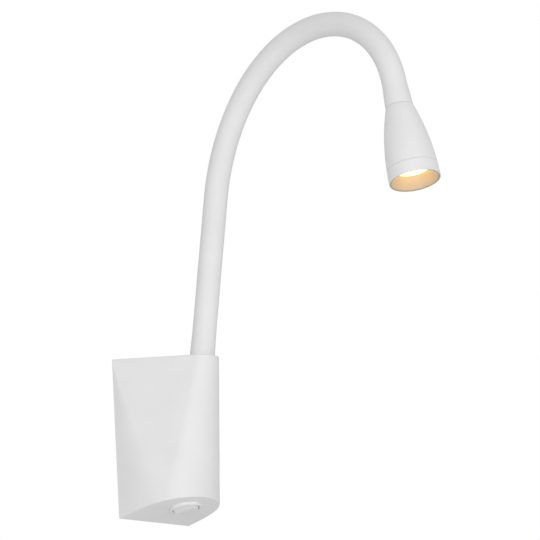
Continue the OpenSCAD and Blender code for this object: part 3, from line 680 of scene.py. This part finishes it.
def head_shell(finish):
    """The turned shell, which swells from the neck to the seam."""
    spread = shares(HEAD_STEPS)
    outside = [(head_radius(SEAM_X * s), SEAM_X * s) for s in spread]
    inside = [(min(head_radius(x) - HEAD_WALL, SPIGOT_R - SPIGOT_WALL), x)
              for x in (SINK_X + (BACK_WALL - SINK_X) * s for s in spread)]
    outline = outside + [(SPIGOT_R, SEAM_X), (SPIGOT_R, SINK_X)] + inside
    outline += [(NIPPLE_HOLE_R, BACK_WALL), (NIPPLE_HOLE_R, 0)]
    shell = turned(outline, "lamp_head", HEAD_PLACE, rounding=HEAD_ROUND)
    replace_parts(shell, "head_shell")
    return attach(dress(shell, finish, crease=TURNED_CREASE), "head")


def bezel_ring(finish):
    """The front ring: its spigot sits in the shell, and its thin lip stands round the grey ring of painted shade.
    """
    low = SEAM_X + SEAM_GAP
    heights = [low + (HEAD_L - low) * s for s in shares(HALF_LINK_STEPS)]
    spigot = SPIGOT_R - SPIGOT_PLAY
    inner = SPIGOT_R - SPIGOT_WALL
    lens_back = DISC_X - LENS_T
    outline = [(spigot, SPIGOT_BACK), (spigot, low)] + [(head_radius(x), x) for x in heights]
    outline += [(MOUTH_R - LIP_T, HEAD_L), (MOUTH_R - LIP_T, HEAD_L - SHADE_RING_L)]
    outline += [(MOUTH_R - RIM_T, HEAD_L - SHADE_RING_L), (MOUTH_R - RIM_T, HEAD_L - RIM_BORE_L)]
    outline += [(LENS_SEAT_R, DISC_X), (LENS_SEAT_R, lens_back), (DISC_R, lens_back)]
    outline += [(DISC_R, lens_back - SHELF_T), (inner, lens_back - SHELF_T), (inner, SPIGOT_BACK)]
    ring = turned(outline, "bezel", HEAD_PLACE, rounding=HEAD_ROUND)
    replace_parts(ring, "bezel_ring")
    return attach(dress(ring, finish, crease=TURNED_CREASE), "head")


def mouth_shade_ring(finish):
    """A thin grey ring in the lip: painted shade, which draws the shade at the mouth's rim as a line round the
    mouth.
    """
    outer = MOUTH_R - LIP_T
    back = HEAD_L - SHADE_RING_L
    front = HEAD_L - SHADE_RING_SINK
    outline = [(outer - SHADE_RING_W, back), (outer, back), (outer, front), (outer - SHADE_RING_W, front)]
    seal = turned(outline, "mouth_shade_ring", HEAD_PLACE)
    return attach(dress(seal, finish), "head")


def baffle(finish):
    """The cone round the light."""
    land = MOUTH_R - RIM_T - BAFFLE_GAP
    front = HEAD_L - BAFFLE_RECESS
    outline = [(DISC_R, DISC_X), (DISC_R + CONE_T, DISC_X), (land, front - BAFFLE_LAND), (land, front),
               (land - CONE_T, front)]
    cone = turned(outline, "light_cone", HEAD_PLACE, rounding=CONE_ROUND)
    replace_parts(cone, "baffle")
    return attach(dress(cone, finish, crease=TURNED_CREASE), "head")


def lens(finish):
    """The frosted lens, a little crowned."""
    crown = [(LENS_R * s, DISC_X + LENS_CROWN * (1 - s * s)) for s in shares(HALF_LINK_STEPS)]
    disc = turned(crown + [(LENS_R, DISC_X - LENS_T), (0, DISC_X - LENS_T)], "lit_lens", HEAD_PLACE)
    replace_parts(disc, "lens")
    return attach(dress(disc, finish), "head")


# Finishes
def surface(name, tones, cloud, roughness, grain, relief, **sockets):
    """A surface with slow changes between two tones, uneven gloss and a fine relief.

    cloud and grain are the sizes of these patterns and relief is the height of the grain, in metres.
    Most grains are drawn coarser than the real ones, which are too fine to show.
    """
    material = bpy.data.materials.new(name)
    material.use_nodes = True
    tree = material.node_tree
    shader = tree.nodes["Principled BSDF"]
    for socket, value in sockets.items():
        shader.inputs[socket.replace("_", " ")].default_value = value
    place = add(tree, "ShaderNodeTexCoord").outputs["Object"]
    slow = add(tree, "ShaderNodeTexNoise", {"Vector": place, "Scale": 1 / cloud, "Detail": TONE_DETAIL})
    tone = add(tree, "ShaderNodeValToRGB", {"Fac": slow.outputs["Fac"]})
    for stop, share, code in zip(tone.color_ramp.elements, TONE_STOPS, tones):
        stop.position = share
        stop.color = linear(code)
    fine = add(tree, "ShaderNodeTexNoise", {"Vector": place, "Scale": 1 / grain, "Detail": GRAIN_DETAIL})
    shine = add(tree, "ShaderNodeMapRange", {"Value": fine.outputs["Fac"], "To Min": roughness[0],
                                             "To Max": roughness[1]})
    bump = add(tree, "ShaderNodeBump", {"Height": fine.outputs["Fac"], "Strength": RELIEF_STRENGTH,
                                        "Distance": relief})
    tree.links.new(tone.outputs["Color"], shader.inputs["Base Color"])
    tree.links.new(shine.outputs["Result"], shader.inputs["Roughness"])
    tree.links.new(bump.outputs["Normal"], shader.inputs["Normal"])
    return material


def moulded_abs():
    """Moulded ABS of the housing: an even satin white, with a mould grain that softens the highlight."""
    return surface("moulded_abs", ("#ededed", "#eaeaea"), cloud=22 * MM, roughness=(0.42, 0.54),
                   grain=0.35 * MM, relief=0.012 * MM, IOR=1.54, Specular_IOR_Level=0.3)


def glossy_abs():
    """Polished ABS of the switch: the same white with a tighter highlight."""
    return surface("glossy_abs", ("#efefef", "#ececec"), cloud=12 * MM, roughness=(0.24, 0.32),
                   grain=0.5 * MM, relief=0.004 * MM, IOR=1.54, Specular_IOR_Level=0.5)


def powder_coat():
    """Powder coat on the aluminium head: white, with the faint orange peel of the baked film."""
    return surface("powder_coat", ("#eeeeee", "#ebebeb"), cloud=16 * MM, roughness=(0.4, 0.5),
                   grain=0.9 * MM, relief=0.02 * MM, IOR=1.5, Specular_IOR_Level=0.35)


def silicone():
    """Soft silicone of the sleeve: matte white, with a faint sheen and hardly any highlight."""
    return surface("silicone", ("#ededed", "#eaeaea"), cloud=30 * MM, roughness=(0.55, 0.66),
                   grain=0.4 * MM, relief=0.01 * MM, IOR=1.41, Specular_IOR_Level=0.3,
                   Sheen_Weight=0.05, Sheen_Roughness=0.5)


def baffle_plastic():
    """Satin plastic of the cone; its warm beige tone paints part of the warm glow that the light casts on it."""
    # The warm beige tones are painted light: they stand in for part of the light's warm colour on the cone
    return surface("baffle_plastic", ("#d5c3ac", "#d1bfa8"), cloud=10 * MM, roughness=(0.4, 0.5),
                   grain=0.5 * MM, relief=0.006 * MM, IOR=1.5, Specular_IOR_Level=0.3)


def lit_lens():
    """Frosted acrylic with the warm light behind it: it glows evenly and looks almost white."""
    return surface("lit_lens", ("#fffaf0", "#fff6e6"), cloud=8 * MM, roughness=(0.3, 0.4),
                   grain=0.4 * MM, relief=0.006 * MM, IOR=1.49, Emission_Color=linear(LENS_LIGHT),
                   Emission_Strength=LENS_STRENGTH)


def zinc_steel():
    """Zinc-plated steel: a cool bright metal with a cloudy lustre."""
    return surface("zinc_steel", ("#b9bdc2", "#a3a8ae"), cloud=4 * MM, roughness=(0.26, 0.42),
                   grain=0.6 * MM, relief=0.01 * MM, Metallic=1.0)


def brass():
    """Plain turned brass, slightly dulled."""
    return surface("brass", ("#d9b25f", "#c79c4b"), cloud=3 * MM, roughness=(0.25, 0.4),
                   grain=0.4 * MM, relief=0.006 * MM, Metallic=1.0)


def grey_plastic():
    """Pale moulded plastic of the driver case and the terminal block, with a coarse grain."""
    return surface("grey_plastic", ("#d6d6d1", "#cfcfc9"), cloud=9 * MM, roughness=(0.5, 0.62),
                   grain=0.5 * MM, relief=0.02 * MM, IOR=1.5)


def black_rubber():
    """Rubber and cable jacket: near black and matte, with a dusty bloom."""
    return surface("black_rubber", ("#26272a", "#1e1f21"), cloud=6 * MM, roughness=(0.6, 0.75),
                   grain=0.4 * MM, relief=0.012 * MM, IOR=1.52)


def painted_shade_grey():
    """Matte warm grey of the ring in the lip: painted shade, which draws the shade at the mouth's rim as a line.
    """
    return surface("painted_shade_grey", ("#bab1a6", "#b4aba0"), cloud=6 * MM, roughness=(0.6, 0.72),
                   grain=0.4 * MM, relief=0.006 * MM, IOR=1.52)


def turned_aluminium():
    """Turned aluminium of the heat sink: pale, with a fine dull grain."""
    return surface("turned_aluminium", ("#ced0d3", "#bfc2c6"), cloud=5 * MM, roughness=(0.3, 0.42),
                   grain=0.2 * MM, relief=0.006 * MM, Metallic=1.0)


def solder_mask():
    """White solder mask of the board: smooth, with a slight lacquer gloss."""
    return surface("solder_mask", ("#f2f2ee", "#ecece6"), cloud=6 * MM, roughness=(0.28, 0.36),
                   grain=0.5 * MM, relief=0.004 * MM, IOR=1.5)


def phosphor():
    """Yellow phosphor gel over the chip: soft and a little cloudy."""
    return surface("phosphor", ("#f0c850", "#e6b83c"), cloud=2 * MM, roughness=(0.3, 0.45),
                   grain=0.3 * MM, relief=0.008 * MM, IOR=1.41)


def floor_paint():
    """Matte pale paint of the floor."""
    return surface("floor_paint", ("#f4f4f4", "#f1f1f1"), cloud=300 * MM, roughness=(0.7, 0.8),
                   grain=4 * MM, relief=0.05 * MM)


FINISHES = {"housing_white": moulded_abs(), "head_white": powder_coat(), "sleeve_white": silicone(),
            "steel": zinc_steel(), "brass": brass(), "pale_plastic": grey_plastic(),
            "dark_rubber": black_rubber(), "aluminium": turned_aluminium(), "board_white": solder_mask(),
            "emitter_yellow": phosphor(), "lens_warm": lit_lens(), "baffle_white": baffle_plastic()}
for part in frame["record"]["subparts"]:
    solid = nodes[part["node"]]
    solid.data.materials.clear()
    solid.data.materials.append(FINISHES[part["material_slot"]])

SWITCH_FINISH = glossy_abs()
housing_shell(FINISHES["housing_white"])
switch_ring(SWITCH_FINISH)
rocker(SWITCH_FINISH)
base_collar(FINISHES["sleeve_white"])
cable_foot(FINISHES["dark_rubber"])
flexible_arm(FINISHES["sleeve_white"], FINISHES["dark_rubber"])
head_shell(FINISHES["head_white"])
bezel_ring(FINISHES["head_white"])
# The grey ring at the mouth is painted shade
mouth_shade_ring(painted_shade_grey())
baffle(FINISHES["baffle_white"])
lens(FINISHES["lens_warm"])


# Camera, lights and stage
def place_camera():
    """The camera, at the left and a little below, with the light in the middle of the frame."""
    back = Vector((math.sin(VIEW_AZIMUTH) * math.cos(VIEW_ELEVATION),
                   -math.cos(VIEW_AZIMUTH) * math.cos(VIEW_ELEVATION), math.sin(VIEW_ELEVATION)))
    right = Vector((math.cos(VIEW_AZIMUTH), math.sin(VIEW_AZIMUTH), 0))
    up = back.cross(right)
    target = Vector((0, 0, FOOT_Z)) + VIEW_RIGHT * right + VIEW_UP * up
    data = bpy.data.cameras.new("camera")
    data.sensor_width = SENSOR
    data.lens = SENSOR * FOCAL_PIXELS / IMAGE_SIDE
    data.clip_end = VIEW_END
    camera = bpy.data.objects.new("camera", data)
    turn = Matrix((right, up, back)).transposed().to_4x4()
    camera.matrix_world = Matrix.Translation(target + VIEW_DISTANCE * back) @ turn
    scene.collection.objects.link(camera)
    scene.camera = camera


def soft_box(name, direction, distance, power):
    """A large square lamp that looks at the light from a direction."""
    data = bpy.data.lights.new(name, "AREA")
    data.size = LAMP_WIDTH
    data.energy = power
    lamp = bpy.data.objects.new(name, data)
    towards = Vector(direction).normalized()
    facing = towards.to_track_quat("Z", "Y").to_matrix().to_4x4()
    lamp.matrix_world = Matrix.Translation(LAMP_AIM + distance * towards) @ facing
    scene.collection.objects.link(lamp)


def seen_directly(tree):
    """1 for rays that come straight from the camera, or by a reflection or a clear material."""
    path = add(tree, "ShaderNodeLightPath").outputs
    mirrored = add(tree, "ShaderNodeMath", {0: path["Is Glossy Ray"], 1: path["Is Transmission Ray"]},
                   operation="MAXIMUM")
    return add(tree, "ShaderNodeMath", {0: path["Is Camera Ray"], 1: mirrored.outputs["Value"]},
               operation="MAXIMUM").outputs["Value"]


def studio_world():
    """White to look at, and a soft ambient light that is stronger from the front than from behind."""
    world = bpy.data.worlds.new("studio")
    scene.world = world
    world.use_nodes = True
    tree = world.node_tree
    direction = add(tree, "ShaderNodeTexCoord").outputs["Generated"]
    depth = add(tree, "ShaderNodeSeparateXYZ", {"Vector": direction}).outputs["Y"]
    level = add(tree, "ShaderNodeMapRange", {"Value": depth, "From Min": -1.0, "From Max": 1.0,
                                             "To Min": AMBIENT_FRONT, "To Max": AMBIENT_BACK})
    ambient = add(tree, "ShaderNodeBackground", {"Color": WHITE, "Strength": level.outputs["Result"]})
    white = add(tree, "ShaderNodeBackground", {"Color": WHITE, "Strength": 1.0})
    mix = add(tree, "ShaderNodeMixShader", {0: seen_directly(tree), 1: ambient.outputs["Background"],
                                            2: white.outputs["Background"]})
    tree.links.new(mix.outputs["Shader"], tree.nodes["World Output"].inputs["Surface"])


def pale_floor():
    """A plain pale floor, far below the light."""
    bm = bmesh.new()
    bmesh.ops.create_grid(bm, x_segments=1, y_segments=1, size=FLOOR_HALF)
    bmesh.ops.translate(bm, verts=bm.verts, vec=(0, 0, FLOOR_Z))
    floor = to_object(bm, "floor")
    floor.data.materials.append(floor_paint())


place_camera()
studio_world()
pale_floor()
for lamp in LAMPS:
    soft_box(*lamp)
scene.view_settings.view_transform = "Standard"
